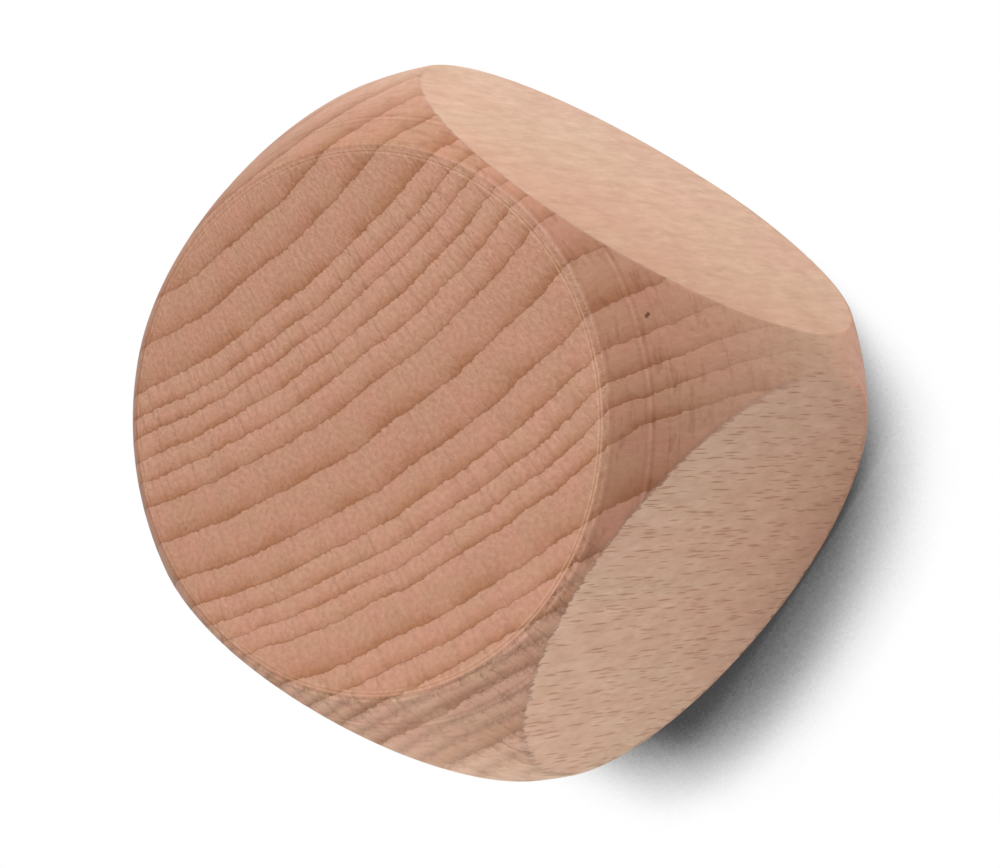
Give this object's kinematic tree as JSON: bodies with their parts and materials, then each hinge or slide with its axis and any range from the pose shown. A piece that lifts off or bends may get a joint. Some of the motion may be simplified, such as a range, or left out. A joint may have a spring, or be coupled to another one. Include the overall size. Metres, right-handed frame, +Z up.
{
  "type": "blank wooden die",
  "caption": "Blank beech die: a cube with flat faces, its corners and edges turned round on a lathe, for marking as a game die, a counter or a small block.",
  "frame": {"origin": "centre of the lower end-grain face, which the die stands on", "axes": "+Z up, along the grain and the lathe axis; +X and +Y straight out of two side faces"},
  "size_m": [0.03, 0.03, 0.03],
  "materials": {
    "beech": "bare beech, turned and fine sanded, no varnish"
  },
  "bodies": {
    "root": {"die": "beech"}
  },
  "joints": []
}
